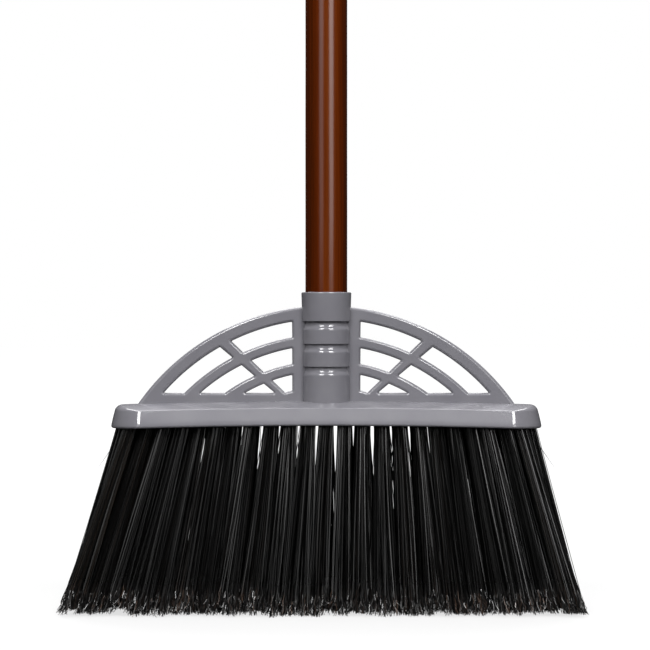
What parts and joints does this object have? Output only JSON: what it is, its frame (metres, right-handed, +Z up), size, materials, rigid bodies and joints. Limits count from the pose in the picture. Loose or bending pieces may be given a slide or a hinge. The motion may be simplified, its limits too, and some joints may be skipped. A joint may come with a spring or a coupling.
{
  "type": "broom",
  "caption": "Upright household broom: long round handle screwed into a moulded head with a ringed socket, a fan-shaped lattice and flared black bristle tufts.",
  "frame": {"origin": "on the floor under the handle's axis, in the plane of the bristle tips", "axes": "+Z up along the handle, +X along the head, +Y from the front of the broom to its back"},
  "size_m": [0.2808, 0.0606, 1.3857],
  "materials": {
    "head_plastic": "grey moulded polypropylene with a satin gloss",
    "block_plastic": "grey moulded polypropylene, dull",
    "bristle": "black polyester filament, slightly shiny, with split tips",
    "tip_plastic": "black moulded plastic",
    "core_wood": "plain turned wood, uncoated",
    "handle_film": "glossy red-brown film printed with a fine wood grain",
    "cap_plastic": "grey moulded polypropylene with a satin gloss"
  },
  "bodies": {
    "head": {"head_cover": "head_plastic", "tuft_block": "block_plastic", "tuft_row_1": "bristle", "tuft_row_2": "bristle", "tuft_row_3": "bristle", "tuft_row_4": "bristle"},
    "core": {"wooden_core": "core_wood"},
    "handle": {"film_sleeve": "handle_film", "screw_tip": "tip_plastic", "hanger_cap": "cap_plastic"}
  },
  "joints": [
    {"name": "handle_lift", "type": "slide", "parent": "head", "child": "core", "axis": [0, 0, 1], "range_m": [0, 0.03]},
    {"name": "handle_turn", "type": "hinge", "parent": "core", "child": "handle", "pos_m": [0, 0, 0.1541], "axis": [0, 0, 1], "range_deg": [0, 2160]}
  ],
  "couplings": [
    {"joint": "handle_turn", "follows": "handle_lift", "rad_per_m": 1256.6}
  ]
}
